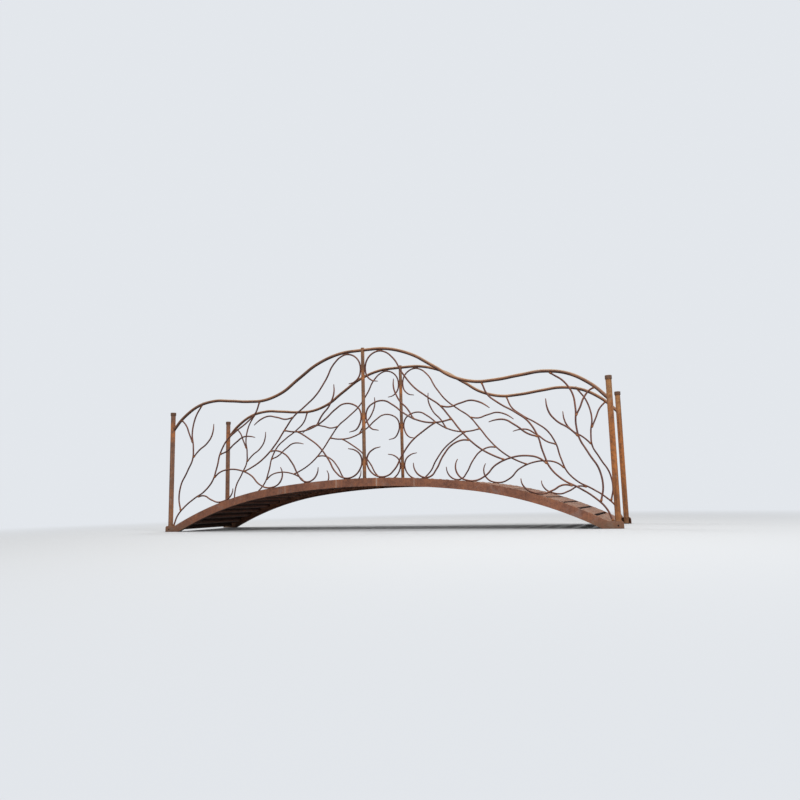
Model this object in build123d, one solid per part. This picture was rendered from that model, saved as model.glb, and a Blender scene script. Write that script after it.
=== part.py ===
"""Arched garden bridge in rusted steel with railings of bent branch-like rods.

Axes in mm: X runs along the bridge, Y across it with the front railing at -Y,
Z up with the ground at 0. The middle of the bridge stands on the origin.
"""
from build123d import *
from math import acos, asin, copysign, cos, degrees, sin, sqrt
import os

# Overall sizes
SPAN = 4474.0            # end post axis to end post axis
WIDTH = 972.0            # front railing plane to back railing plane
POST_HEIGHT = 1250.0     # top of the post caps
CLEAR = 0.3              # gap left where two welded pieces meet
SAME_WAY = 1e-9          # two directions closer than this are one

# Side beams, channels with the flat side outwards
BEAM_CREST = 478.0       # top of the beams at mid span
BEAM_DEPTH = 75.0
BEAM_FLANGE = 40.0
BEAM_WALL = 5.0
CREST_RADIUS = 8000.0    # the flatter middle of the arch
CREST_HALF = 1000.0      # and where it ends, from mid span
FOOT_TOP = 60.0          # height of the flat foot
FOOT_INSIDE = 76.0       # foot length on the bridge side of the post axis
FOOT_OUTSIDE = 42.0      # foot length beyond the post axis
FOOT_CORNER = 22.0       # rounded outer corner of the foot
FOOT_HOLE_D = 14.0       # bolt hole through the web in front of the post
FOOT_HOLE_Z = 24.0

# Posts
POST_D = 48.3
POST_WALL = 3.2
CAP_WALL = 4.0
CAP_HEIGHT = 32.0
CAP_TOP = 5.0
CAP_ROUND = 3.5
CENTRE_D = 33.7
CENTRE_WALL = 3.2
CENTRE_ABOVE = 8.0       # the centre post ends this far above the handrail

# Handrails
RAIL_D = 30.0
RAIL_WALL = 2.6
RAIL_CREST = 1700.0      # centre line at mid span
RAIL_END_DROP = 200.0    # centre line at the end post, below the top of its cap

# Treads, folded plates with their turned-down edges across the bridge
TREADS_PER_SIDE = 16
TREAD_GAP = 24.0
TREAD_DEPTH = 40.0
TREAD_WALL = 4.0
TREAD_BEND = 6.0
DECK_INSET = 52.0        # the last gap is this far inside the post axis

# Branch rods
ROD_D = 16.0
TIP_D = 8.0

HALF = SPAN / 2
RAIL_Y = WIDTH / 2
ROD_R = ROD_D / 2
TOE_Y = RAIL_Y + POST_D / 2 + CLEAR + BEAM_WALL - BEAM_FLANGE
FOOT_END = HALF + FOOT_OUTSIDE
RAIL_END = POST_HEIGHT - RAIL_END_DROP

# The middle arc of the beam top, and the haunch arc that leaves it smoothly
# and comes down to the inner end of the flat foot
CREST_Z = BEAM_CREST - CREST_RADIUS
MEET = asin(CREST_HALF / CREST_RADIUS)
RUN = HALF - FOOT_INSIDE - CREST_HALF
FALL = CREST_Z + CREST_RADIUS * cos(MEET) - FOOT_TOP
HAUNCH_RADIUS = (RUN ** 2 + FALL ** 2) / (2 * (FALL * cos(MEET) - RUN * sin(MEET)))
HAUNCH_X = (CREST_RADIUS - HAUNCH_RADIUS) * sin(MEET)
HAUNCH_Z = CREST_Z + (CREST_RADIUS - HAUNCH_RADIUS) * cos(MEET)

# Half a handrail from mid span to the end post, in thousandths: how far out,
# and how high between its end and its crest
RAIL_LINE = [(0, 1000), (112, 982), (224, 856), (313, 667), (402, 472), (492, 382), (581, 384),
             (671, 417), (760, 441), (849, 388), (939, 209), (1000, 0)]

# The thirteen rods of half a railing, in thousandths: how far out from the
# centre post to the end post, and how high from the beam to the handrail.
# A rod at 0 touches the centre post or the beam, one at 1000 the end post or
# the handrail, and a rod that ends on another one runs a little into it.
END_STEM = [(958, 114), (969, 243), (960, 360), (922, 456), (893, 542), (891, 652), (899, 788),
            (884, 916), (837, 1035)]
END_FORK = [(896, 699), (914, 796), (938, 928), (963, 1019)]
END_TWIG = [(891, 549), (860, 584), (809, 627), (788, 671), (777, 731), (774, 796)]
MAIN_STEM = [(998, -14), (976, 84), (928, 131), (878, 151), (823, 170), (777, 238), (753, 353),
             (734, 491), (697, 615), (649, 696), (590, 786), (541, 891), (518, 1023)]
STEM_TWIG = [(738, 477), (702, 495), (649, 574), (606, 630), (562, 625), (542, 610)]
LOW_BRANCH = [(768, 264), (736, 299), (677, 303), (617, 264), (565, 191), (517, 64), (484, 13),
              (451, 0), (420, 18), (396, 109), (398, 160), (406, 205)]
LOW_TWIG = [(860, 151), (823, 130), (780, 59), (745, 12), (713, 0), (680, 14), (663, 64), (661, 97)]
LONG_BRANCH = [(600, 246), (560, 274), (514, 323), (471, 392), (424, 494), (384, 596), (334, 682),
               (283, 709), (222, 751), (174, 839), (130, 952), (101, 988), (69, 1000), (36, 984),
               (9, 936), (0, 873), (9, 802), (30, 767), (58, 755)]
UPPER_TWIG = [(339, 673), (380, 708), (425, 776), (471, 826), (510, 812), (532, 782), (548, 751)]
INNER_BRANCH = [(460, 414), (425, 398), (380, 325), (345, 212), (314, 80), (293, 20), (267, 0),
                (241, 13), (216, 74), (213, 116)]
LOOP_BRANCH = [(388, 594), (343, 531), (288, 485), (219, 481), (173, 514), (129, 565), (87, 598),
               (43, 588), (9, 543), (0, 484), (6, 430), (24, 382), (58, 364)]
LOOP_TWIG = [(220, 476), (196, 544), (152, 622), (131, 720), (132, 781)]
CROSS_BRANCH = [(318, 509), (271, 414), (207, 288), (165, 176), (127, 56), (101, 14), (71, 0),
                (38, 14), (11, 60), (0, 119), (8, 180), (35, 220), (65, 234)]

# The end stem of the front right railing, bent further in towards its top
LEANING_STEM = END_STEM[:4] + [(893, 540), (884, 640), (886, 756), (877, 874), (854, 937),
                               (792, 1015)]
LEANING_FORK = [(885, 700), (903, 783), (919, 874), (943, 965), (963, 1019)]


def crest_point(angle, drop):
    """Point of the middle arc moved down by drop, at an angle from upright."""
    r = CREST_RADIUS - drop
    return (r * sin(angle), CREST_Z + r * cos(angle))


def haunch_point(angle, drop):
    r = HAUNCH_RADIUS - drop
    return (HAUNCH_X + r * sin(angle), HAUNCH_Z + r * cos(angle))


def haunch_at(z, drop):
    """Angle at which the haunch arc, moved down by drop, passes height z."""
    return acos((z - HAUNCH_Z) / (HAUNCH_RADIUS - drop))


def beam_top(x):
    """Height and steepness of the beam top at a distance x from mid span."""
    if x < CREST_HALF:
        rise = sqrt(CREST_RADIUS ** 2 - x ** 2)
        return CREST_Z + rise, x / rise
    if x > HALF - FOOT_INSIDE:
        return FOOT_TOP, 0.0
    rise = sqrt(HAUNCH_RADIUS ** 2 - (x - HAUNCH_X) ** 2)
    return HAUNCH_Z + rise, (x - HAUNCH_X) / rise


def rail_points():
    return [(HALF * u / 1000, RAIL_END + (RAIL_CREST - RAIL_END) * v / 1000)
            for u, v in RAIL_LINE]


def turning_point(a, b, leaving, arriving):
    """Where two tangent arcs meet that leave a and arrive at b in the given directions."""
    run = b - a
    both = run.dot(leaving + arriving)
    bend = 2 * (1 - leaving.dot(arriving))
    if bend < SAME_WAY:
        reach = run.dot(run) / (2 * both)
    else:
        reach = (sqrt(both ** 2 + bend * run.dot(run)) - both) / bend
    return (a + b + (leaving - arriving) * reach) * 0.5


def arc_chain(points, heading=None):
    """A smooth bend through the points: two tangent arcs on each run."""
    at = [Vector(x, 0, z) for x, z in points]
    runs = [b - a for a, b in zip(at, at[1:])]
    headings = [heading or runs[0].normalized()]
    for before, after in zip(runs, runs[1:]):
        turn = before.normalized() * after.length + after.normalized() * before.length
        headings.append(turn.normalized())
    headings.append(runs[-1].normalized())
    arcs = []
    for a, b, leaving, arriving in zip(at, at[1:], headings, headings[1:]):
        middle = turning_point(a, b, leaving, arriving)
        arcs.append(TangentArc(a, middle, tangent=leaving))
        arcs.append(TangentArc(middle, b, tangent=arcs[-1] % 1))
    return arcs


RAIL_ARCS = arc_chain(rail_points(), Vector(1, 0, 0))


def rail_height(x):
    """Height of the handrail's centre line at a distance x from mid span."""
    arc = next(a for a in RAIL_ARCS if x < (a @ 1).X)
    centre = arc.arc_center
    rise = sqrt(arc.radius ** 2 - (x - centre.X) ** 2)
    return centre.Z + copysign(rise, (arc @ 0.5).Z - centre.Z)


def panel_points(shares):
    """Turn a rod's thousandths into points between posts, beam and handrail."""
    first = CENTRE_D / 2 + CLEAR + ROD_R
    last = HALF - POST_D / 2 - CLEAR - ROD_R
    points = []
    for u, v in shares:
        x = first + (last - first) * u / 1000
        top, steep = beam_top(x)
        low = top + (CLEAR + ROD_R) * sqrt(1 + steep ** 2)
        high = rail_height(x) - RAIL_D / 2 - CLEAR - ROD_R
        points.append((x, low + (high - low) * v / 1000))
    return points


def bar_along(arcs, profile):
    path = Wire(arcs)
    return sweep(Plane(origin=path @ 0, z_dir=path % 0) * profile, path=path)


def rod(shares, free_tip=False, grow=0.0):
    """Round rod; one with a free tip thins out over its last run."""
    arcs = arc_chain(panel_points(shares))
    profile = Circle(ROD_R + grow)
    if not free_tip:
        return bar_along(arcs, profile)
    start = arcs[-2] @ 0
    tip = Plane(origin=start, z_dir=arcs[-2] % 0) * Cone(
        ROD_R + grow, TIP_D / 2 + grow, (arcs[-1] @ 1 - start).length,
        align=(Align.CENTER, Align.CENTER, Align.MIN))
    return bar_along(arcs[:-2], profile) + tip


def trimmed(piece, *hosts):
    """The piece up to the faces of what it is welded to."""
    for host in hosts:
        piece = piece - host
    return max(piece.solids(), key=lambda s: s.volume)


def handrail(grow=0.0):
    """Half a handrail from the centre post to an end post."""
    if grow:
        return bar_along(RAIL_ARCS, Circle(RAIL_D / 2 + grow))
    rail = bar_along(RAIL_ARCS, Circle(RAIL_D / 2) - Circle(RAIL_D / 2 - RAIL_WALL))
    post = Pos(HALF, 0, RAIL_END) * Cylinder(POST_D / 2 + CLEAR, 4 * RAIL_D)
    centre = Pos(0, 0, RAIL_CREST) * Cylinder(CENTRE_D / 2 + CLEAR, 4 * RAIL_D)
    return trimmed(rail, post, centre)


def half_railing(end_stem=END_STEM, end_fork=END_FORK):
    """The rods of half a railing as four branches, drawn in the plane y = 0."""
    rail = handrail(CLEAR)
    main = rod(MAIN_STEM, grow=CLEAR)
    stem = rod(end_stem, grow=CLEAR)
    low = rod(LOW_BRANCH, grow=CLEAR)
    long = rod(LONG_BRANCH, grow=CLEAR)
    loop = rod(LOOP_BRANCH, grow=CLEAR)
    foot = Pos(HALF, 0, FOOT_TOP + CLEAR) * Box(
        2 * FOOT_INSIDE, 4 * ROD_D, 4 * ROD_D, align=(Align.CENTER, Align.CENTER, Align.MAX))
    return {
        "end_stem": [trimmed(rod(end_stem), rail, main),
                     trimmed(rod(end_fork), stem, rail),
                     trimmed(rod(END_TWIG, True), stem)],
        "main_stem": [trimmed(rod(MAIN_STEM), rail, foot),
                      trimmed(rod(STEM_TWIG, True), main),
                      trimmed(rod(LOW_BRANCH, True), main),
                      trimmed(rod(LOW_TWIG, True), main)],
        "long_branch": [trimmed(rod(LONG_BRANCH, True), low),
                        trimmed(rod(UPPER_TWIG, True), long),
                        trimmed(rod(INNER_BRANCH, True), long)],
        "loop_branch": [trimmed(rod(LOOP_BRANCH, True), long),
                        trimmed(rod(LOOP_TWIG, True), loop),
                        trimmed(rod(CROSS_BRANCH, True), loop)],
    }


def beam_side(inset):
    """Side view of a beam, drawn in by inset all round."""
    low = BEAM_DEPTH - inset
    top_end = haunch_at(FOOT_TOP - inset, inset)
    low_end = haunch_at(inset, low)
    end_x = FOOT_END - inset
    corner = FOOT_CORNER - inset
    flat_z = FOOT_TOP - inset
    k = corner * (1 - sqrt(0.5))
    with BuildSketch(Plane.XZ) as side:
        with BuildLine():
            ThreePointArc(crest_point(0, inset), crest_point(MEET / 2, inset),
                          crest_point(MEET, inset))
            ThreePointArc(haunch_point(MEET, inset), haunch_point((MEET + top_end) / 2, inset),
                          haunch_point(top_end, inset))
            Line(haunch_point(top_end, inset), (end_x - corner, flat_z))
            ThreePointArc((end_x - corner, flat_z), (end_x - k, flat_z - k),
                          (end_x, flat_z - corner))
            Polyline((end_x, flat_z - corner), (end_x, inset), haunch_point(low_end, low))
            ThreePointArc(haunch_point(low_end, low), haunch_point((MEET + low_end) / 2, low),
                          haunch_point(MEET, low))
            ThreePointArc(crest_point(MEET, low), crest_point(MEET / 2, low), crest_point(0, low))
            Line(crest_point(0, low), crest_point(0, inset))
        make_face()
        mirror(about=Plane.YZ)
    return side.sketch


def side_beam():
    """Front beam: web outwards, flanges towards the deck."""
    toe = Pos(0, -TOE_Y, 0)
    solid = extrude(toe * beam_side(0), BEAM_FLANGE)
    hollow = extrude(toe * beam_side(BEAM_WALL), BEAM_FLANGE - BEAM_WALL)
    beam = solid - hollow
    socket = Cylinder(POST_D / 2 + CLEAR, 4 * BEAM_WALL)
    bolt = Rot(90, 0, 0) * Cylinder(FOOT_HOLE_D / 2, 4 * BEAM_WALL)
    for x in (-HALF, HALF):
        beam = beam - Pos(x, -RAIL_Y, FOOT_TOP) * socket
        beam = beam - Pos(x, -TOE_Y - BEAM_FLANGE, FOOT_HOLE_Z) * bolt
    return beam


def end_post():
    bottom = BEAM_WALL + CLEAR
    height = POST_HEIGHT - CAP_TOP - CLEAR - bottom
    body = Cylinder(POST_D / 2, height, align=(Align.CENTER, Align.CENTER, Align.MIN))
    bore = Cylinder(POST_D / 2 - POST_WALL, height, align=(Align.CENTER, Align.CENTER, Align.MIN))
    return Pos(0, 0, bottom) * (body - bore)


def post_cap():
    """Cup that slips over the top of an end post."""
    inside = POST_D / 2 + CLEAR
    down = (Align.CENTER, Align.CENTER, Align.MAX)
    cup = Cylinder(inside + CAP_WALL, CAP_HEIGHT, align=down)
    cup = fillet(cup.edges().group_by(Axis.Z)[-1], CAP_ROUND)
    bore = Cylinder(inside, CAP_HEIGHT - CAP_TOP, align=down)
    return Pos(0, 0, POST_HEIGHT) * (cup - Pos(0, 0, -CAP_TOP) * bore)


def centre_post():
    """Slim tube standing on the beam, closed just above the handrail."""
    up = (Align.CENTER, Align.CENTER, Align.MIN)
    bottom = BEAM_CREST + CLEAR
    height = RAIL_CREST + RAIL_D / 2 + CENTRE_ABOVE - bottom
    body = Cylinder(CENTRE_D / 2, height, align=up)
    body = fillet(body.edges().group_by(Axis.Z)[-1], CAP_ROUND)
    bore = Cylinder(CENTRE_D / 2 - CENTRE_WALL, height - CAP_TOP, align=up)
    return Pos(0, 0, bottom) * (body - bore)


# Treads share the length of the beam top up to the last gap
CREST_LENGTH = CREST_RADIUS * MEET
DECK_LENGTH = CREST_LENGTH + HAUNCH_RADIUS * (
    asin((HALF - DECK_INSET - HAUNCH_X) / HAUNCH_RADIUS) - MEET)
TREAD_PITCH = DECK_LENGTH / TREADS_PER_SIDE
TREAD_WIDTH = TREAD_PITCH - TREAD_GAP


def tread():
    """Folded plate lying across the bridge, its top at z = 0."""
    w, d, t, b = TREAD_WIDTH / 2, TREAD_DEPTH, TREAD_WALL, TREAD_BEND
    with BuildSketch(Plane.XZ) as section:
        with BuildLine():
            FilletPolyline((-w, -d), (-w, 0), (w, 0), (w, -d), radius=b)
            Line((w, -d), (w - t, -d))
            FilletPolyline((w - t, -d), (w - t, -t), (t - w, -t), (t - w, -d), radius=b - t)
            Line((t - w, -d), (-w, -d))
        make_face()
    return extrude(section.sketch, TOE_Y - CLEAR, both=True)


def tread_place(index):
    """Where a tread sits: index 0 is the first one right of mid span."""
    s = (index + 0.5) * TREAD_PITCH
    if abs(s) < CREST_LENGTH:
        angle = s / CREST_RADIUS
        x, z = crest_point(angle, 0)
    else:
        angle = MEET + (abs(s) - CREST_LENGTH) / HAUNCH_RADIUS
        x, z = haunch_point(angle, 0)
        if s < 0:
            x, angle = -x, -angle
    return Pos(x, 0, z) * Rot(0, degrees(angle), 0)


def save(name, shapes):
    solids = [s for shape in shapes for s in shape.solids()]
    whole = solids[0] if len(solids) == 1 else Compound(solids)
    export_step(whole, "parts/" + name + ".step")


os.makedirs("parts", exist_ok=True)

beam = side_beam()
save("front_beam", [beam])
save("back_beam", [mirror(beam, about=Plane.XZ)])

rail = handrail()
rods = half_railing()
leaning_rods = half_railing(LEANING_STEM, LEANING_FORK)
for side, y in (("front", -RAIL_Y), ("back", RAIL_Y)):
    save(side + "_centre_post", [Pos(0, y, 0) * centre_post()])
    for end, x in (("left", -HALF), ("right", HALF)):
        save(side + "_" + end + "_post", [Pos(x, y, 0) * end_post()])
        save(side + "_" + end + "_cap", [Pos(x, y, 0) * post_cap()])
        own = leaning_rods if (side, end) == ("front", "right") else rods
        for name, pieces in [("handrail", [rail])] + list(own.items()):
            if end == "left":
                pieces = [mirror(p, about=Plane.YZ) for p in pieces]
            save(side + "_" + end + "_" + name, [Pos(0, y, 0) * p for p in pieces])

plank = tread()
for group in range(8):
    first = group * TREADS_PER_SIDE // 4 - TREADS_PER_SIDE
    last = (group + 1) * TREADS_PER_SIDE // 4 - TREADS_PER_SIDE
    save("treads_%d" % (group + 1), [tread_place(k) * plank for k in range(first, last)])
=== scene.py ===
"""Looks of the arched garden bridge: rusted steel, bent branch rods and welds."""
import math

import bmesh
import bpy
from mathutils import Matrix, Vector, noise


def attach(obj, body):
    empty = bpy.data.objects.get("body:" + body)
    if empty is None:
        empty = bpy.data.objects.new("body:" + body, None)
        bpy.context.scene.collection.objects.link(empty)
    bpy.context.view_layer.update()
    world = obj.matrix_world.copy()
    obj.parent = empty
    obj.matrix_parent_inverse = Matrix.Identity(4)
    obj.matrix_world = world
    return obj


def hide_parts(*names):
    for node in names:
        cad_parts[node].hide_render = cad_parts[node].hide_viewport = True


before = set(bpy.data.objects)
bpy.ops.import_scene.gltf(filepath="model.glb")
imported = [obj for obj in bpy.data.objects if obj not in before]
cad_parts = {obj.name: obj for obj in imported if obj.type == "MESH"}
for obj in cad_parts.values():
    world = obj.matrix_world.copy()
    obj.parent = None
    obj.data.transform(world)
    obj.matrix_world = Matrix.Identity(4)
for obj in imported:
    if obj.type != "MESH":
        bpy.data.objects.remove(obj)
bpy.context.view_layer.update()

# Sizes in metres, the same as in the part's source
HALF = 2.237
RAIL_Y = 0.486
POST_HEIGHT = 1.250
CLEAR = 0.0003
BEAM_CREST = 0.478
BEAM_FLANGE = 0.040
BEAM_WALL = 0.005
CREST_RADIUS = 8.0
CREST_HALF = 1.0
FOOT_TOP = 0.060
FOOT_INSIDE = 0.076
POST_R = 0.02415
CENTRE_R = 0.01685
RAIL_R = 0.015
RAIL_CREST = 1.700
RAIL_END = POST_HEIGHT - 0.200
ROD_R = 0.008
TIP_R = 0.0038
TOE_Y = RAIL_Y + POST_R + CLEAR + BEAM_WALL - BEAM_FLANGE
TREADS_PER_SIDE = 16
DECK_INSET = 0.052

MEET = math.asin(CREST_HALF / CREST_RADIUS)
CREST_Z = BEAM_CREST - CREST_RADIUS
RUN = HALF - FOOT_INSIDE - CREST_HALF
FALL = CREST_Z + CREST_RADIUS * math.cos(MEET) - FOOT_TOP
HAUNCH_RADIUS = (RUN ** 2 + FALL ** 2) / (2 * (FALL * math.cos(MEET) - RUN * math.sin(MEET)))
HAUNCH_X = (CREST_RADIUS - HAUNCH_RADIUS) * math.sin(MEET)
HAUNCH_Z = CREST_Z + (CREST_RADIUS - HAUNCH_RADIUS) * math.cos(MEET)

SAME_WAY = 1e-6          # two directions closer than this are one
STRAIGHT = 1e-7          # a run that bulges by less than this is straight

# Handrail and rods, in thousandths of the panel as in the part's source
RAIL_LINE = [(0, 1000), (112, 982), (224, 856), (313, 667), (402, 472), (492, 382), (581, 384),
             (671, 417), (760, 441), (849, 388), (939, 209), (1000, 0)]

# The thirteen rods of half a railing, in thousandths: how far out from the
# centre post to the end post, and how high from the beam to the handrail.
# A rod at 0 touches the centre post or the beam, one at 1000 the end post or
# the handrail, and a rod that ends on another one runs a little into it.
END_STEM = [(958, 114), (969, 243), (960, 360), (922, 456), (893, 542), (891, 652), (899, 788),
            (884, 916), (837, 1035)]
END_FORK = [(896, 699), (914, 796), (938, 928), (963, 1019)]
END_TWIG = [(891, 549), (860, 584), (809, 627), (788, 671), (777, 731), (774, 796)]
MAIN_STEM = [(998, -14), (976, 84), (928, 131), (878, 151), (823, 170), (777, 238), (753, 353),
             (734, 491), (697, 615), (649, 696), (590, 786), (541, 891), (518, 1023)]
STEM_TWIG = [(738, 477), (702, 495), (649, 574), (606, 630), (562, 625), (542, 610)]
LOW_BRANCH = [(768, 264), (736, 299), (677, 303), (617, 264), (565, 191), (517, 64), (484, 13),
              (451, 0), (420, 18), (396, 109), (398, 160), (406, 205)]
LOW_TWIG = [(860, 151), (823, 130), (780, 59), (745, 12), (713, 0), (680, 14), (663, 64), (661, 97)]
LONG_BRANCH = [(600, 246), (560, 274), (514, 323), (471, 392), (424, 494), (384, 596), (334, 682),
               (283, 709), (222, 751), (174, 839), (130, 952), (101, 988), (69, 1000), (36, 984),
               (9, 936), (0, 873), (9, 802), (30, 767), (58, 755)]
UPPER_TWIG = [(339, 673), (380, 708), (425, 776), (471, 826), (510, 812), (532, 782), (548, 751)]
INNER_BRANCH = [(460, 414), (425, 398), (380, 325), (345, 212), (314, 80), (293, 20), (267, 0),
                (241, 13), (216, 74), (213, 116)]
LOOP_BRANCH = [(388, 594), (343, 531), (288, 485), (219, 481), (173, 514), (129, 565), (87, 598),
               (43, 588), (9, 543), (0, 484), (6, 430), (24, 382), (58, 364)]
LOOP_TWIG = [(220, 476), (196, 544), (152, 622), (131, 720), (132, 781)]
CROSS_BRANCH = [(318, 509), (271, 414), (207, 288), (165, 176), (127, 56), (101, 14), (71, 0),
                (38, 14), (11, 60), (0, 119), (8, 180), (35, 220), (65, 234)]

# The end stem of the front right railing, bent further in towards its top
LEANING_STEM = END_STEM[:4] + [(893, 540), (884, 640), (886, 756), (877, 874), (854, 937),
                               (792, 1015)]
LEANING_FORK = [(885, 700), (903, 783), (919, 874), (943, 965), (963, 1019)]

# for each branch node, its rods and whether the last point is a free tip
BRANCHES = {
    "end_stem": [(END_STEM, False), (END_FORK, False), (END_TWIG, True)],
    "main_stem": [(MAIN_STEM, False), (STEM_TWIG, True), (LOW_BRANCH, True), (LOW_TWIG, True)],
    "long_branch": [(LONG_BRANCH, True), (UPPER_TWIG, True), (INNER_BRANCH, True)],
    "loop_branch": [(LOOP_BRANCH, True), (LOOP_TWIG, True), (CROSS_BRANCH, True)],
}

# where a rod lies along something and is welded to it: the rod and the two shares
TOUCHES = {
    "main_stem": [(LOW_BRANCH, 451, 0), (LOW_TWIG, 713, 0)],
    "long_branch": [(LONG_BRANCH, 69, 1000), (LONG_BRANCH, 0, 873), (INNER_BRANCH, 267, 0)],
    "loop_branch": [(LOOP_BRANCH, 0, 484), (CROSS_BRANCH, 0, 119), (CROSS_BRANCH, 71, 0)],
}


def beam_top(x):
    if x < CREST_HALF:
        rise = math.sqrt(CREST_RADIUS ** 2 - x ** 2)
        return CREST_Z + rise, x / rise
    if x > HALF - FOOT_INSIDE:
        return FOOT_TOP, 0.0
    rise = math.sqrt(HAUNCH_RADIUS ** 2 - (x - HAUNCH_X) ** 2)
    return HAUNCH_Z + rise, (x - HAUNCH_X) / rise


def turning_point(a, b, leaving, arriving):
    """Where two tangent arcs meet that leave a and arrive at b in the given directions."""
    run = b - a
    both = run.dot(leaving + arriving)
    bend = 2 * (1 - leaving.dot(arriving))
    if bend < SAME_WAY:
        reach = run.dot(run) / (2 * both)
    else:
        reach = (math.sqrt(both ** 2 + bend * run.dot(run)) - both) / bend
    return (a + b + (leaving - arriving) * reach) / 2


def arc_points(a, b, heading, step):
    """Points on the arc that leaves a in the given direction and ends at b."""
    chord = b - a
    ahead = chord.dot(heading)
    side = chord - heading * ahead
    count = max(2, round(chord.length / step))
    if side.length < STRAIGHT:
        return [a + chord * k / count for k in range(count + 1)]
    radius = chord.length_squared / (2 * side.length)
    turn = 2 * math.atan2(side.length, ahead)
    side = side.normalized() * radius
    return [a + side * (1 - math.cos(turn * k / count))
            + heading * (radius * math.sin(turn * k / count)) for k in range(count + 1)]


def smooth_line(points, step=0.008, heading=None):
    """Points along a smooth bend, two tangent arcs on each run, as in the part's source."""
    runs = [b - a for a, b in zip(points, points[1:])]
    headings = [heading or runs[0].normalized()]
    for before, after in zip(runs, runs[1:]):
        turn = before.normalized() * after.length + after.normalized() * before.length
        headings.append(turn.normalized())
    headings.append(runs[-1].normalized())
    line = []
    for a, b, leaving, arriving in zip(points, points[1:], headings, headings[1:]):
        middle = turning_point(a, b, leaving, arriving)
        line += arc_points(a, middle, leaving, step)[:-1]
        line += arc_points(b, middle, -arriving, step)[:0:-1]
    return line + [points[-1].copy()]


RAIL = smooth_line([Vector((HALF * u / 1000, 0, RAIL_END + (RAIL_CREST - RAIL_END) * v / 1000))
                    for u, v in RAIL_LINE], heading=Vector((1, 0, 0)))


def rail_height(x):
    for a, b in zip(RAIL, RAIL[1:]):
        if x <= b.x:
            return a.z + (b.z - a.z) * (x - a.x) / (b.x - a.x)
    return RAIL[-1].z


def panel_point(u, v):
    first = CENTRE_R + CLEAR + ROD_R
    last = HALF - POST_R - CLEAR - ROD_R
    x = first + (last - first) * u / 1000
    top, steep = beam_top(x)
    low = top + (CLEAR + ROD_R) * math.sqrt(1 + steep ** 2)
    high = rail_height(x) - RAIL_R - CLEAR - ROD_R
    return Vector((x, 0, low + (high - low) * v / 1000))


def add_tube(bm, line, radius, sides=12):
    """Closed tube along a line that lies in an XZ plane; radius is called with the distance."""
    rings, far = [], 0.0
    for i, p in enumerate(line):
        if i:
            far += (p - line[i - 1]).length
        ahead = (line[min(i + 1, len(line) - 1)] - line[max(i - 1, 0)]).normalized()
        across = Vector((0, 1, 0)) if abs(ahead.y) < 0.9 else Vector((1, 0, 0))
        across = (across - ahead * across.dot(ahead)).normalized()
        up = ahead.cross(across)
        ring = []
        for k in range(sides):
            a = 2 * math.pi * k / sides
            r = radius(far, a)
            ring.append(bm.verts.new(p + across * (r * math.cos(a)) + up * (r * math.sin(a))))
        rings.append(ring)
    for low, high in zip(rings, rings[1:]):
        for k in range(sides):
            j = (k + 1) % sides
            bm.faces.new((low[k], low[j], high[j], high[k]))
    bm.faces.new(list(reversed(rings[0])))
    bm.faces.new(rings[-1])


def make_object(name, bm, material):
    bmesh.ops.recalc_face_normals(bm, faces=bm.faces[:])
    mesh = bpy.data.meshes.new(name)
    bm.to_mesh(mesh)
    bm.free()
    for face in mesh.polygons:
        face.use_smooth = True
    piece = bpy.data.objects.new(name, mesh)
    bpy.context.scene.collection.objects.link(piece)
    mesh.materials.append(material)
    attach(piece, "root")
    return piece


# Materials

def new_material(name):
    material = bpy.data.materials.new(name)
    material.use_nodes = True
    tree = material.node_tree
    shader = tree.nodes["Principled BSDF"]
    return material, tree, shader


class Nodes:
    """Short names for the node calls that every material here uses."""

    def __init__(self, tree):
        self.tree = tree
        self.coords = self.add("ShaderNodeTexCoord").outputs["Object"]

    def add(self, kind, **settings):
        node = self.tree.nodes.new(kind)
        for key, value in settings.items():
            setattr(node, key, value)
        return node

    def link(self, a, b):
        self.tree.links.new(a, b)

    def stretched(self, x, y, z):
        node = self.add("ShaderNodeMapping")
        node.inputs["Scale"].default_value = (x, y, z)
        self.link(self.coords, node.inputs["Vector"])
        return node.outputs["Vector"]

    def noise(self, scale, detail=5.0, rough=0.6, vector=None, distort=0.0):
        node = self.add("ShaderNodeTexNoise")
        node.inputs["Scale"].default_value = scale
        node.inputs["Detail"].default_value = detail
        node.inputs["Roughness"].default_value = rough
        node.inputs["Distortion"].default_value = distort
        self.link(vector or self.coords, node.inputs["Vector"])
        return node.outputs["Fac"]

    def ramp(self, value, *stops):
        node = self.add("ShaderNodeValToRGB")
        bar = node.color_ramp
        for i, (place, colour) in enumerate(stops):
            stop = bar.elements[i] if i < 2 else bar.elements.new(place)
            stop.position = place
            stop.color = (*colour, 1)
        self.link(value, node.inputs["Fac"])
        return node.outputs["Color"]

    def span(self, value, low, high, to_low=0.0, to_high=1.0):
        node = self.add("ShaderNodeMapRange", interpolation_type="SMOOTHSTEP")
        node.inputs["From Min"].default_value = low
        node.inputs["From Max"].default_value = high
        node.inputs["To Min"].default_value = to_low
        node.inputs["To Max"].default_value = to_high
        self.link(value, node.inputs["Value"])
        return node.outputs["Result"]

    def maths(self, kind, a, b):
        node = self.add("ShaderNodeMath", operation=kind)
        for i, value in enumerate((a, b)):
            if isinstance(value, (int, float)):
                node.inputs[i].default_value = value
            else:
                self.link(value, node.inputs[i])
        return node.outputs["Value"]

    def mix(self, amount, a, b):
        node = self.add("ShaderNodeMix", data_type="RGBA")
        if isinstance(amount, (int, float)):
            node.inputs[0].default_value = amount
        else:
            self.link(amount, node.inputs[0])
        for i, value in ((6, a), (7, b)):
            if isinstance(value, tuple):
                node.inputs[i].default_value = (*value, 1)
            else:
                self.link(value, node.inputs[i])
        return node.outputs[2]


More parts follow.
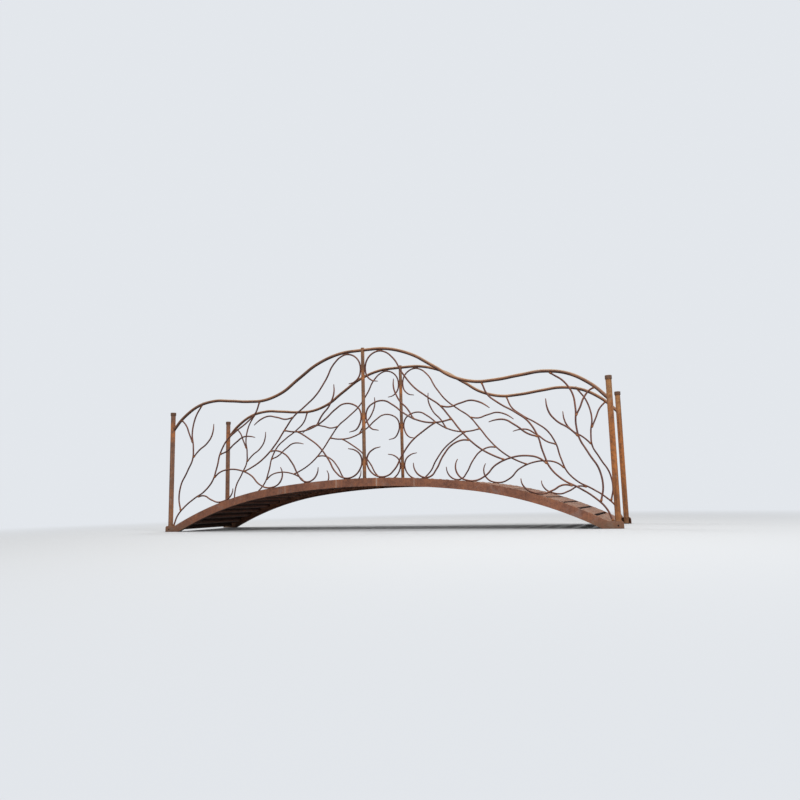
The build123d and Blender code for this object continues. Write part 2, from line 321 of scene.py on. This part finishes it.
def rust(name, deep, body, bright, scale, streaks=0.0, patches=(), seams=(), bump=0.5,
         dust=(0.36, 0.27, 0.20), dusty=0.5, painted_shade_under=0.6, shade=(0.020, 0.010, 0.008),
         folded=False, calm=0.0, sunk=0.0):
    """Rusted steel: dark pits, red-brown rust, orange bloom, grey mill scale and pale dust.

    streaks are runs down a post, patches are (height, reach, strength, colour) stains,
    seams are places along X where a beam is welded and ground flat, sheltered sets how much
    painted shade darkens the undersides towards shade, on a folded tread painted shade darkens
    the sides and undersides and leaves only the lower edges unshaded, calm evens the fine spots
    out, and below the height sunk no light reaches the side of a post that faces the web
    of the beam.
    """
    material, tree, shader = new_material(name)
    n = Nodes(tree)
    broad = n.noise(4.0, 7, 0.62, distort=0.8)
    mottle = n.noise(34.0, 8, 0.70, distort=0.3)
    grain = n.noise(150.0, 6, 0.75)
    pits = n.noise(420.0, 3, 0.6)
    colour = n.ramp(broad, (0.36, deep), (0.50, body), (0.66, bright))
    second = n.ramp(mottle, (0.36, deep), (0.52, body), (0.66, bright))
    colour = n.mix(0.5 - 0.3 * calm, colour, second)
    third = n.ramp(grain, (0.38, deep), (0.50, body), (0.64, bright))
    colour = n.mix(0.28 - 0.2 * calm, colour, third)
    plates = n.span(n.noise(9.0, 8, 0.66, distort=1.0), 0.54, 0.66)
    colour = n.mix(n.maths("MULTIPLY", plates, 0.55), colour, scale)
    bloom = n.span(n.noise(16.0, 8, 0.72, distort=1.4), 0.56, 0.70)
    colour = n.mix(n.maths("MULTIPLY", bloom, 0.55), colour, bright)
    if streaks:
        runs = n.noise(1.0, 5, 0.62, vector=n.stretched(85, 85, 1.6))
        colour = n.mix(n.maths("MULTIPLY", n.span(runs, 0.52, 0.66), streaks), colour, deep)
        colour = n.mix(n.maths("MULTIPLY", n.span(runs, 0.47, 0.36), streaks * 0.8), colour, bright)
    place = n.add("ShaderNodeSeparateXYZ")
    n.link(n.coords, place.inputs[0])
    for height, reach, strength, stain in patches:
        off = n.maths("ABSOLUTE", n.maths("SUBTRACT", place.outputs["Z"], height), 0)
        near = n.maths("MULTIPLY", n.span(off, reach, reach * 0.2), n.span(mottle, 0.36, 0.56))
        colour = n.mix(n.maths("MULTIPLY", near, strength), colour, stain)
    for seam, strength in seams:
        off = n.maths("ABSOLUTE", n.maths("SUBTRACT", place.outputs["X"], seam), 0)
        wobble = n.maths("ADD", off, n.maths("MULTIPLY", n.maths("SUBTRACT", mottle, 0.5), 0.016))
        colour = n.mix(n.maths("MULTIPLY", n.span(wobble, 0.040, 0.012), strength * 0.6),
                       colour, bright)
        colour = n.mix(n.maths("MULTIPLY", n.span(wobble, 0.009, 0.004), strength), colour, GROUND)
    colour = n.mix(n.maths("MULTIPLY", n.span(pits, 0.46, 0.36), 0.6 - 0.5 * calm), colour, deep)
    splash = n.maths("MULTIPLY", n.span(place.outputs["Z"], 0.11, 0.01), n.span(mottle, 0.3, 0.6))
    colour = n.mix(n.maths("MULTIPLY", splash, 0.6), colour, SOIL)
    facing = n.add("ShaderNodeSeparateXYZ")
    n.link(n.add("ShaderNodeNewGeometry").outputs["Normal"], facing.inputs[0])
    upward = n.span(facing.outputs["Z"], 0.15, 0.85)
    settled = n.maths("MULTIPLY", upward,
                      n.span(n.noise(26.0, 7, 0.7), 0.36 - 0.3 * calm, 0.60 - 0.2 * calm))
    colour = n.mix(n.maths("MULTIPLY", settled, dusty), colour, dust)
    # painted shade: darker towards the deep colour in corners and recesses that ambient occlusion
    # finds
    painted_corner_shade = n.add("ShaderNodeAmbientOcclusion", samples=6)
    painted_corner_shade.inputs["Distance"].default_value = 0.03
    colour = n.mix(n.span(painted_corner_shade.outputs["AO"], 0.75, 0.25, 0.0, 0.55), colour, deep)
    # painted shade: faces that look down are darkened towards the shade colour
    under = n.span(facing.outputs["Z"], 0.1, -0.7)
    # painted shade on a folded tread: the sides and the underside between the flanges go dark, and
    # only the open lower edges that ambient occlusion finds stay unshaded
    if folded:
        near_air = n.add("ShaderNodeAmbientOcclusion", samples=8)
        near_air.inputs["Distance"].default_value = 0.06
        open_air = n.add("ShaderNodeAmbientOcclusion", samples=8)
        open_air.inputs["Distance"].default_value = 0.16
        rim = n.span(near_air.outputs["AO"], 0.70, 0.80)
        lip = n.span(open_air.outputs["AO"], 0.90, 0.98)
        unshaded_edge = n.maths("MAXIMUM", lip, n.maths("MULTIPLY", rim, n.maths("SUBTRACT", 1.0, under)))
        under = n.maths("MULTIPLY", n.span(facing.outputs["Z"], 0.75, 0.35),
                        n.maths("SUBTRACT", 1.0, unshaded_edge))
    under = n.maths("MULTIPLY", under, painted_shade_under)
    if sunk:
        off = n.maths("ABSOLUTE", place.outputs["Y"], 0)
        hidden = n.maths("MULTIPLY", n.span(off, RAIL_Y + 0.012, RAIL_Y + 0.018),
                         n.span(place.outputs["Z"], sunk, sunk - 0.006))
        under = n.maths("MAXIMUM", under, hidden)
    colour = n.mix(under, colour, shade)
    n.link(colour, shader.inputs["Base Color"])
    n.link(n.span(n.mix(0.5, plates, mottle), 0.25, 0.75, 0.93, 0.66), shader.inputs["Roughness"])
    shader.inputs["Metallic"].default_value = 0.0
    shader.inputs["Specular IOR Level"].default_value = 0.4
    height = n.maths("ADD", n.maths("MULTIPLY", mottle, 0.5), n.maths("MULTIPLY", grain, 0.35))
    height = n.maths("ADD", height, n.maths("MULTIPLY", pits, 0.15))
    shape = n.add("ShaderNodeBump")
    shape.inputs["Strength"].default_value = bump
    shape.inputs["Distance"].default_value = 0.0016
    n.link(height, shape.inputs["Height"])
    n.link(shape.outputs["Normal"], shader.inputs["Normal"])
    return material


SOIL = (0.14, 0.10, 0.06)
GROUND = (0.44, 0.33, 0.27)
ORANGE = (0.50, 0.17, 0.045)
SEAMS = ((-0.84, 0.35), (-0.284, 0.45), (0.133, 0.75), (0.502, 0.30))

MATERIALS = {
    "beam": rust("rust_beam", (0.090, 0.038, 0.026), (0.250, 0.105, 0.065), (0.40, 0.155, 0.070),
                 (0.24, 0.145, 0.115), streaks=0.2, seams=SEAMS, painted_shade_under=0.8),
    "left_post": rust("rust_post_left", (0.090, 0.046, 0.034), (0.240, 0.125, 0.082),
                      (0.38, 0.18, 0.085), (0.26, 0.19, 0.165), streaks=0.45,
                      patches=((1.05, 0.16, 0.75, ORANGE), (0.25, 0.25, 0.25, ORANGE)),
                      sunk=FOOT_TOP),
    "right_post": rust("rust_post_right", (0.095, 0.036, 0.018), (0.300, 0.120, 0.045),
                       (0.52, 0.20, 0.055), (0.30, 0.18, 0.11), streaks=0.8,
                       patches=((1.14, 0.12, 0.5, (0.42, 0.24, 0.10)),
                                (0.62, 0.42, 0.55, ORANGE)), sunk=FOOT_TOP),
    "centre": rust("rust_centre_post", (0.080, 0.042, 0.028), (0.210, 0.108, 0.060),
                   (0.36, 0.17, 0.075), (0.22, 0.16, 0.13), streaks=0.45,
                   patches=((1.44, 0.09, 0.7, ORANGE), (1.02, 0.10, 0.7, ORANGE),
                            (0.60, 0.09, 0.5, ORANGE))),
    "cap": rust("rust_cap", (0.045, 0.026, 0.020), (0.130, 0.068, 0.042), (0.30, 0.145, 0.07),
                (0.14, 0.10, 0.08), dusty=0.8),
    "handrail": rust("rust_handrail", (0.080, 0.038, 0.026), (0.225, 0.100, 0.060),
                     (0.36, 0.16, 0.075), (0.22, 0.135, 0.105), dust=(0.44, 0.31, 0.20),
                     dusty=0.9, painted_shade_under=0.9, bump=0.25, calm=0.8),
    "rod": rust("rust_rod", (0.050, 0.022, 0.021), (0.155, 0.062, 0.047), (0.31, 0.115, 0.056),
                (0.16, 0.090, 0.080), dust=(0.38, 0.21, 0.14), dusty=0.5, painted_shade_under=0.85,
                calm=0.4),
    "tread": rust("rust_tread", (0.060, 0.024, 0.017), (0.225, 0.085, 0.048), (0.36, 0.135, 0.062),
                  (0.19, 0.11, 0.085), bump=0.6, painted_shade_under=0.95, folded=True),
    "weld": rust("rust_weld", (0.10, 0.040, 0.022), (0.32, 0.12, 0.048), (0.54, 0.21, 0.06),
                 (0.24, 0.15, 0.11), bump=0.8, painted_shade_under=0.3),
}


def material_key(node):
    for ending in ("beam", "centre_post", "left_post", "right_post", "cap", "handrail"):
        if node.endswith(ending):
            return ending.replace("centre_post", "centre")
    return "tread" if node.startswith("treads") else "rod"


for name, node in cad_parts.items():
    node.data.materials.clear()
    node.data.materials.append(MATERIALS[material_key(name)])


# Rods, one piece for each branch of each railing half

TAPER = 0.13             # length over which a free tip is drawn out
RIPPLE = 0.0042          # pitch of the ripples in a weld bead
WELD_STEP = 0.0014       # distance between the points of a rod that a bead follows
TOUCH_REACH = 0.034      # half the length of a bead where a rod lies along something
TOUCH_THICK = 0.0045
END_LENGTH = 0.022       # bead round the end of a rod
END_THICK = 0.0028
END_BASE = 0.97          # how far out that bead starts, as a share of the rod's radius
END_START = 0.4          # where it starts at a lower end, as a share of the rod's radius
RAIL_GAP = 0.004         # a rod this close to the handrail has met it
RAIL_BACK = 0.008        # how far before that its bead starts
POST_RING = 0.0032
CENTRE_RING = 0.0028
FOOT_RING = 0.0034


def rod_radius(length, free_tip, seed):
    """Radius along a forged rod: a little uneven, and drawn out to its free tip."""
    def radius(far, angle):
        r = ROD_R
        left = (length - far) / TAPER
        if free_tip and left < 1:
            r = TIP_R + (ROD_R - TIP_R) * math.sin(max(left, 0) * math.pi / 2) ** 0.8
        dent = noise.noise(Vector((far * 24, math.cos(angle) * 0.9, math.sin(angle) * 0.9 + seed)))
        return r * (0.985 + 0.05 * dent)
    return radius


def bead_radius(length, thick, base, seed):
    """Radius along a weld bead: rippled, lumpy and closing at both ends."""
    def radius(far, angle):
        along = min(max(far / length, 0), 1)
        swell = math.sin(math.pi * min(max(along, 0.02), 0.98)) ** 0.5
        ripple = 0.10 * math.sin(2 * math.pi * far / RIPPLE)
        lump = 0.35 * noise.noise(Vector((far * 160, math.cos(angle) * 1.4,
                                          math.sin(angle) * 1.4 + seed)))
        return base + thick * swell * (1 + ripple + lump)
    return radius


def line_length(line):
    return sum((b - a).length for a, b in zip(line, line[1:]))


def part_of(line, start, stop):
    """The points of a line between two distances from its start."""
    out, far = [], 0.0
    for a, b in zip(line, line[1:]):
        if start <= far <= stop:
            out.append(a)
        far += (b - a).length
    return out


def add_ring(bm, loop, thick, seed):
    """Lumpy weld bead along a closed loop of points."""
    count, sides = len(loop), 8
    rings = []
    for i, p in enumerate(loop):
        ahead = (loop[(i + 1) % count] - loop[i - 1]).normalized()
        side = ahead.orthogonal().normalized()
        up = ahead.cross(side)
        swell = 1 + 0.12 * math.sin(i * 2.1) + 0.35 * noise.noise(p * 150 + Vector((seed, 0, 0)))
        rings.append([bm.verts.new(p + (side * math.cos(a) + up * math.sin(a)) * thick * swell)
                      for a in (2 * math.pi * k / sides for k in range(sides))])
    for i in range(count):
        low, high = rings[i], rings[(i + 1) % count]
        shift = min(range(sides), key=lambda k: (low[0].co - high[k].co).length)
        for k in range(sides):
            j = (k + 1) % sides
            bm.faces.new((low[k], low[j], high[(j + shift) % sides], high[(k + shift) % sides]))


def circle(centre, radius, count):
    return [centre + Vector((math.cos(a), math.sin(a), 0)) * radius
            for a in (2 * math.pi * k / count for k in range(count))]


def saddle(end_x, end_z, heading, post_radius, count=40):
    """Where half a handrail meets an upright post; heading points along the handrail, away."""
    up = Vector((-heading.z, 0, heading.x))
    points = []
    for k in range(count):
        a = 2 * math.pi * k / count
        y, rise = RAIL_R * math.sin(a), RAIL_R * math.cos(a)
        reach = math.copysign(math.sqrt(post_radius ** 2 - y ** 2), heading.x)
        t = (reach - up.x * rise) / heading.x
        points.append(Vector((end_x, y, end_z)) + heading * t + up * rise)
    return points


def placed(points, side_x, y):
    return [Vector((side_x * p.x, y + p.y, p.z)) for p in points]


def touch_bead(bm, line, u, v, seed):
    """Long bead where a rod lies along a post, beam or handrail."""
    at = panel_point(u, v)
    nearest = min(range(len(line)), key=lambda i: (line[i] - at).length)
    middle = line_length(line[:nearest + 1])
    run = part_of(line, middle - TOUCH_REACH, middle + TOUCH_REACH)
    if u < 10:
        push = Vector((-1, 0, 0))
    else:
        push = Vector((0, 0, 1 if v > 500 else -1))
    run = [p + push * ROD_R * 0.9 for p in run]
    add_tube(bm, run, bead_radius(line_length(run), TOUCH_THICK, 0.0006, seed), sides=10)


def end_bead(bm, line, start, seed):
    """Bead round a rod where it butts on something, from a distance along it."""
    run = part_of(line, start, start + END_LENGTH)
    if len(run) > 2:
        add_tube(bm, run, bead_radius(line_length(run), END_THICK, ROD_R * END_BASE, seed),
                 sides=14)


def reaches_rail(line):
    """How far along a rod it meets the handrail."""
    far = 0.0
    for a, b in zip(line, line[1:]):
        if a.z > rail_height(a.x) - RAIL_R - RAIL_GAP:
            return far
        far += (b - a).length
    return None


def branch_shares(side, end, branch):
    rods = BRANCHES[branch]
    if (side, end, branch) == ("front", "right", "end_stem"):
        return [(LEANING_STEM, False), (LEANING_FORK, False)] + rods[2:]
    return rods


RAIL_TOP_WAY = Vector((1, 0, 0))
RAIL_END_WAY = (RAIL[-2] - RAIL[-1]).normalized()

for side, y in (("front", -RAIL_Y), ("back", RAIL_Y)):
    for end, side_x in (("left", -1), ("right", 1)):
        for branch in BRANCHES:
            seed = len(side) * 11.3 + side_x * 5.7 + len(branch) * 3.1
            bm, welds = bmesh.new(), bmesh.new()
            for shares, free_tip in branch_shares(side, end, branch):
                seed += 1.37
                line = smooth_line([panel_point(u, v) for u, v in shares])
                fine = smooth_line([panel_point(u, v) for u, v in shares], WELD_STEP)
                add_tube(bm, line, rod_radius(line_length(line), free_tip, seed))
                end_bead(welds, fine, ROD_R * END_START, seed)
                meets = None if free_tip else reaches_rail(fine)
                if meets:
                    end_bead(welds, fine, meets - RAIL_BACK, seed + 0.5)
                for owner, u, v in TOUCHES.get(branch, []):
                    if owner is shares:
                        touch_bead(welds, fine, u, v, seed)
            for mesh in (bm, welds):
                for vert in mesh.verts:
                    vert.co = Vector((side_x * vert.co.x, y + vert.co.y, vert.co.z))
            piece = make_object("%s_%s_%s_rods" % (side, end, branch), bm, MATERIALS["rod"])
            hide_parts("%s_%s_%s" % (side, end, branch))
            make_object("%s_%s_%s_welds" % (side, end, branch), welds, MATERIALS["weld"])
        rings = bmesh.new()
        joint = saddle(HALF, RAIL_END, RAIL_END_WAY, POST_R)
        add_ring(rings, placed(joint, side_x, y), POST_RING, side_x)
        joint = saddle(0, RAIL_CREST, RAIL_TOP_WAY, CENTRE_R)
        add_ring(rings, placed(joint, side_x, y), CENTRE_RING, side_x + 4)
        foot = circle(Vector((side_x * HALF, y, FOOT_TOP)), POST_R, 48)
        add_ring(rings, foot, FOOT_RING, side_x)
        make_object("%s_%s_post_welds" % (side, end), rings, MATERIALS["weld"])
    rings = bmesh.new()
    add_ring(rings, circle(Vector((0, y, BEAM_CREST)), CENTRE_R, 40), POST_RING, y)
    make_object("%s_centre_post_weld" % side, rings, MATERIALS["weld"])


# Stitches between the ends of the treads and the beams

CREST_LENGTH = CREST_RADIUS * MEET
DECK_LENGTH = CREST_LENGTH + HAUNCH_RADIUS * (
    math.asin((HALF - DECK_INSET - HAUNCH_X) / HAUNCH_RADIUS) - MEET)
TREAD_PITCH = DECK_LENGTH / TREADS_PER_SIDE
STITCH = 0.030
STITCH_OFF = 0.032       # from the middle of the tread to the middle of a stitch


def deck_point(s):
    """Point on the beam top at a distance s along it from mid span."""
    if abs(s) < CREST_LENGTH:
        angle = s / CREST_RADIUS
        return CREST_RADIUS * math.sin(angle), CREST_Z + CREST_RADIUS * math.cos(angle)
    angle = MEET + (abs(s) - CREST_LENGTH) / HAUNCH_RADIUS
    x = HAUNCH_X + HAUNCH_RADIUS * math.sin(angle)
    return math.copysign(x, s), HAUNCH_Z + HAUNCH_RADIUS * math.cos(angle)


stitches = bmesh.new()
for index in range(-TREADS_PER_SIDE, TREADS_PER_SIDE):
    for off in (-STITCH_OFF, STITCH_OFF):
        for y in (-TOE_Y, TOE_Y):
            start = (index + 0.5) * TREAD_PITCH + off - STITCH / 2
            run = []
            for k in range(15):
                x, z = deck_point(start + STITCH * k / 14)
                run.append(Vector((x, y, z)))
            add_tube(stitches, run, bead_radius(STITCH, 0.0026, 0.0004, index + off * 90 + y),
                     sides=8)
make_object("tread_welds", stitches, MATERIALS["weld"])


# Studio: a wide pale floor that fades into the backdrop, an even sky and two soft lamps

BACKDROP = (0.77, 0.80, 0.84, 1)
FLOOR = (0.56, 0.57, 0.58, 1)


def seen_directly(tree):
    """1 for camera, mirror and glass rays, which show the backdrop instead of lighting."""
    path = tree.nodes.new("ShaderNodeLightPath")
    total = path.outputs["Is Camera Ray"]
    for name in ("Is Glossy Ray", "Is Transmission Ray"):
        top = tree.nodes.new("ShaderNodeMath")
        top.operation = "MAXIMUM"
        tree.links.new(total, top.inputs[0])
        tree.links.new(path.outputs[name], top.inputs[1])
        total = top.outputs[0]
    return total


bpy.ops.mesh.primitive_circle_add(vertices=96, radius=60, fill_type="NGON",
                                  location=(0, 0, -0.0005))
floor = bpy.context.object
floor.name = "floor"
floor_material, tree, shader = new_material("floor_pale")
shader.inputs["Base Color"].default_value = FLOOR
shader.inputs["Roughness"].default_value = 0.9
n = Nodes(tree)
away = n.add("ShaderNodeVectorMath", operation="LENGTH")
n.link(n.coords, away.inputs[0])
far = n.maths("MULTIPLY", n.span(away.outputs["Value"], 2.4, 7.0), seen_directly(tree))
glow = n.add("ShaderNodeEmission")
glow.inputs["Color"].default_value = BACKDROP
fade = n.add("ShaderNodeMixShader")
n.link(far, fade.inputs[0])
n.link(shader.outputs[0], fade.inputs[1])
n.link(glow.outputs[0], fade.inputs[2])
n.link(fade.outputs[0], tree.nodes["Material Output"].inputs["Surface"])
floor.data.materials.append(floor_material)

world = bpy.data.worlds.new("studio")
bpy.context.scene.world = world
world.use_nodes = True
tree = world.node_tree
sky = tree.nodes["Background"]
sky.inputs["Color"].default_value = (1, 1, 1, 1)
sky.inputs["Strength"].default_value = 0.50
seen = tree.nodes.new("ShaderNodeBackground")
seen.inputs["Color"].default_value = BACKDROP
pick = tree.nodes.new("ShaderNodeMixShader")
tree.links.new(seen_directly(tree), pick.inputs[0])
tree.links.new(sky.outputs[0], pick.inputs[1])
tree.links.new(seen.outputs[0], pick.inputs[2])
tree.links.new(pick.outputs[0], tree.nodes["World Output"].inputs["Surface"])


def lamp(name, place, aim, size, watts):
    data = bpy.data.lights.new(name, "AREA")
    data.shape = "DISK"
    data.size = size
    data.energy = watts
    light = bpy.data.objects.new(name, data)
    bpy.context.scene.collection.objects.link(light)
    light.location = place
    light.rotation_mode = "QUATERNION"
    light.rotation_quaternion = (Vector(aim) - Vector(place)).to_track_quat("-Z", "Y")


lamp("key", (4.0, -4.5, 6.5), (0, 0, 0.6), 2.5, 430)
lamp("top", (-2.5, 2.0, 7.5), (0, 0, 0.8), 3.0, 330)

# Camera, set by a pinhole fit to the photograph
YAW, PITCH, ROLL = 0.37769, 0.14739, -0.02421
FOCAL = 677.8            # in pixels of the 800 pixel frame
forward = Vector((-math.sin(YAW) * math.cos(PITCH), math.cos(YAW) * math.cos(PITCH),
                  math.sin(PITCH)))
right = Vector((math.cos(YAW), math.sin(YAW), 0))
up = right.cross(forward)
tilted_right = right * math.cos(ROLL) + up * math.sin(ROLL)
tilted_up = up * math.cos(ROLL) - right * math.sin(ROLL)
camera_data = bpy.data.cameras.new("camera")
camera_data.sensor_width = 36
camera_data.lens = camera_data.sensor_width * FOCAL / 800
camera_data.clip_end = 200
camera = bpy.data.objects.new("camera", camera_data)
bpy.context.scene.collection.objects.link(camera)
camera.matrix_world = Matrix.Translation((2.6701, -6.2727, 0.2630)) @ Matrix(
    (tilted_right, tilted_up, -forward)).transposed().to_4x4()
bpy.context.scene.camera = camera
bpy.context.scene.view_settings.view_transform = "Standard"
